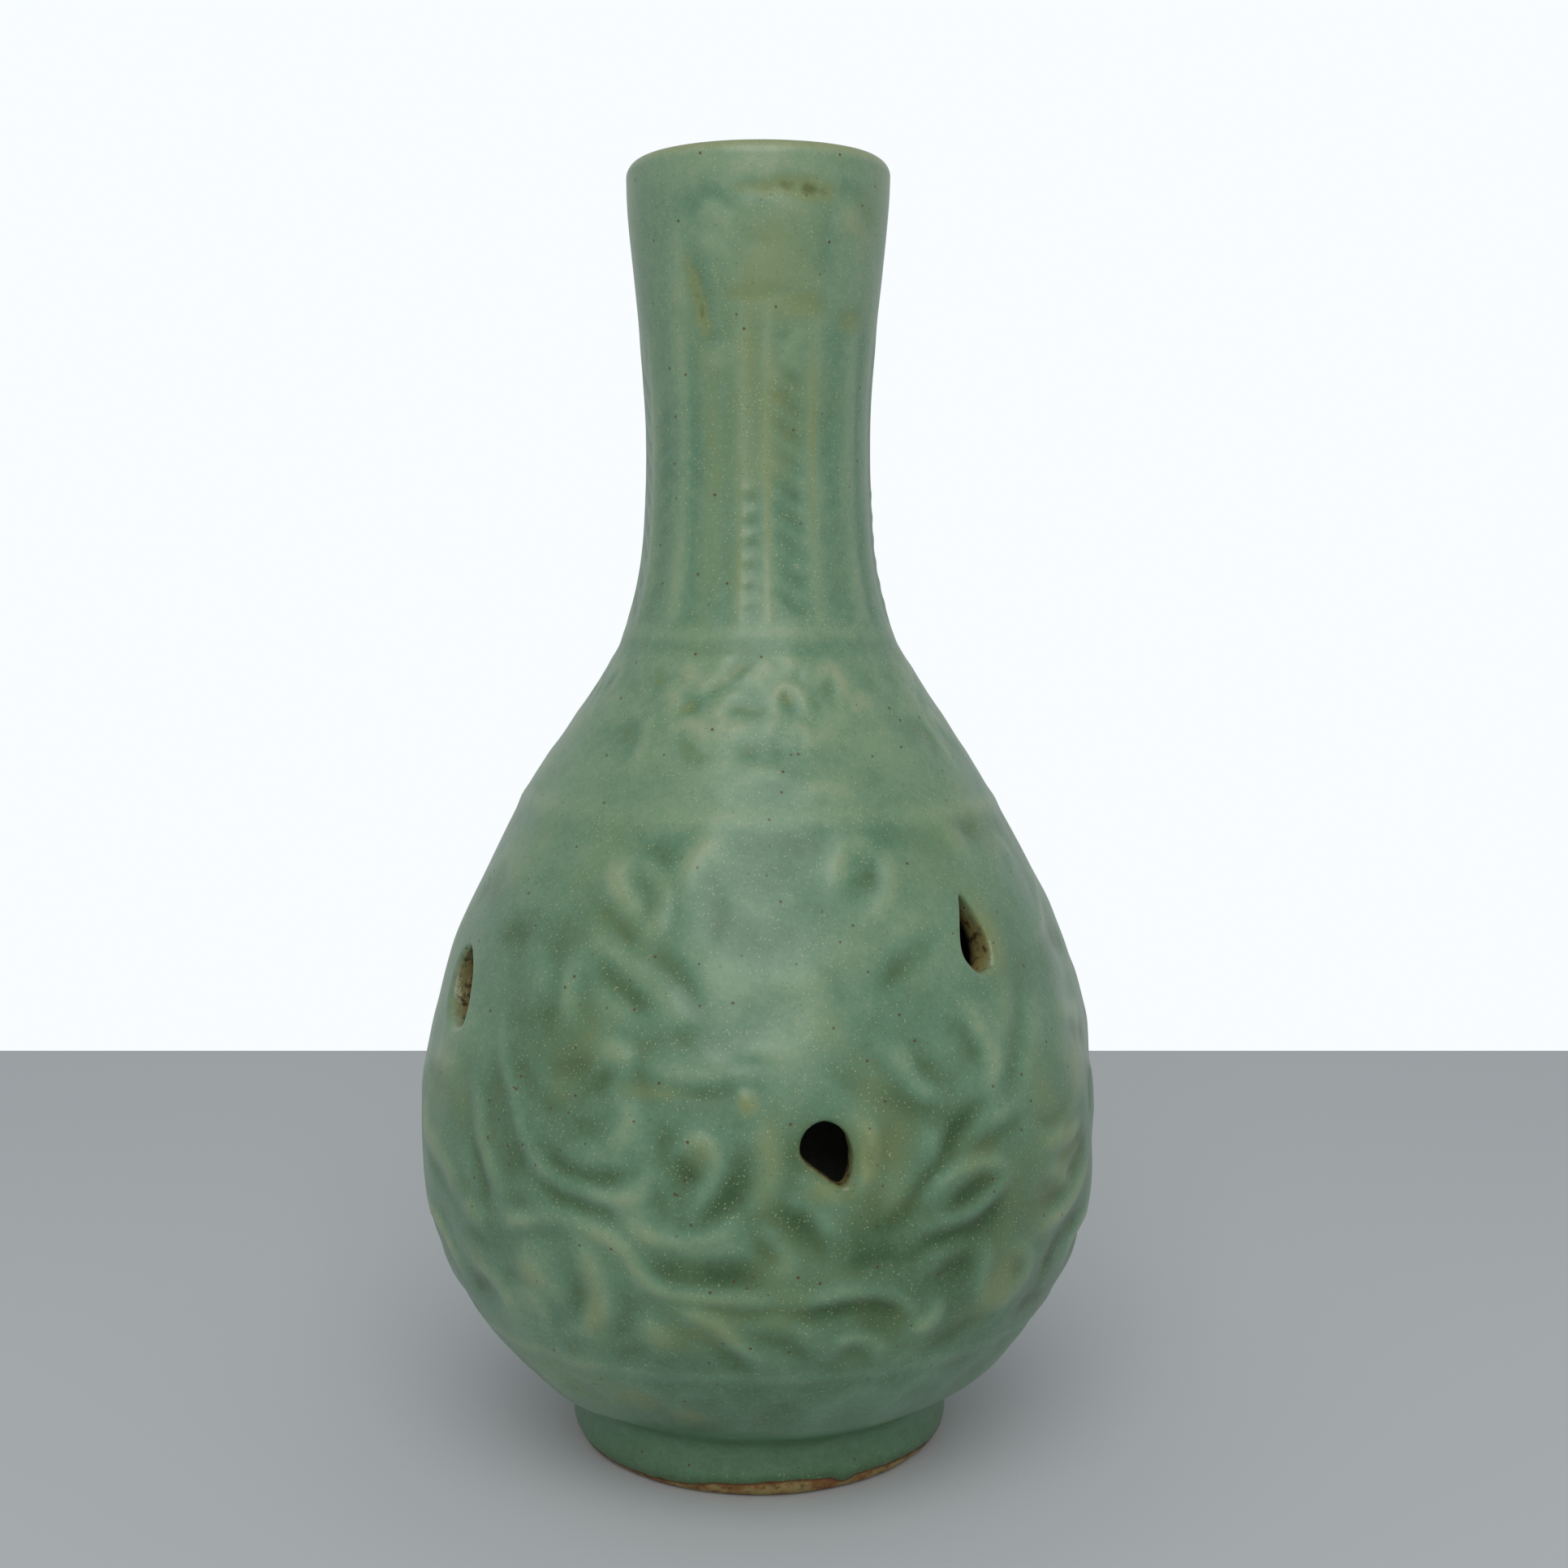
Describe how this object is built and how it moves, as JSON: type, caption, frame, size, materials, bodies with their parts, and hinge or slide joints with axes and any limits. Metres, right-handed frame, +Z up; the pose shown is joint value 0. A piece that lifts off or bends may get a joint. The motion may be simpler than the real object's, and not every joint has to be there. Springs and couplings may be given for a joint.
{
  "type": "bottle vase",
  "caption": "Pear-shaped stoneware bottle vase with a long flaring neck, a relief-moulded and pierced outer wall over an inner liner, and a low foot ring with a bare standing edge.",
  "frame": {"origin": "centre of the foot's standing face, at the bottom", "axes": "+Z up along the vase's axis, -Y towards the front, +X to the right seen from the front"},
  "size_m": [0.1616, 0.1616, 0.3],
  "materials": {
    "celadon_glaze": "satin-gloss grey-green glaze, darker where it pools and buff where it runs thin",
    "bare_stoneware": "matt unglazed stoneware fired to an orange brown"
  },
  "bodies": {
    "root": {"foot_ring": "celadon_glaze", "base_disc": "bare_stoneware", "lower_belly": "celadon_glaze", "upper_belly": "celadon_glaze", "shoulder_band": "celadon_glaze", "neck": "celadon_glaze", "mouth_lip": "celadon_glaze", "inner_liner": "bare_stoneware"}
  },
  "joints": []
}
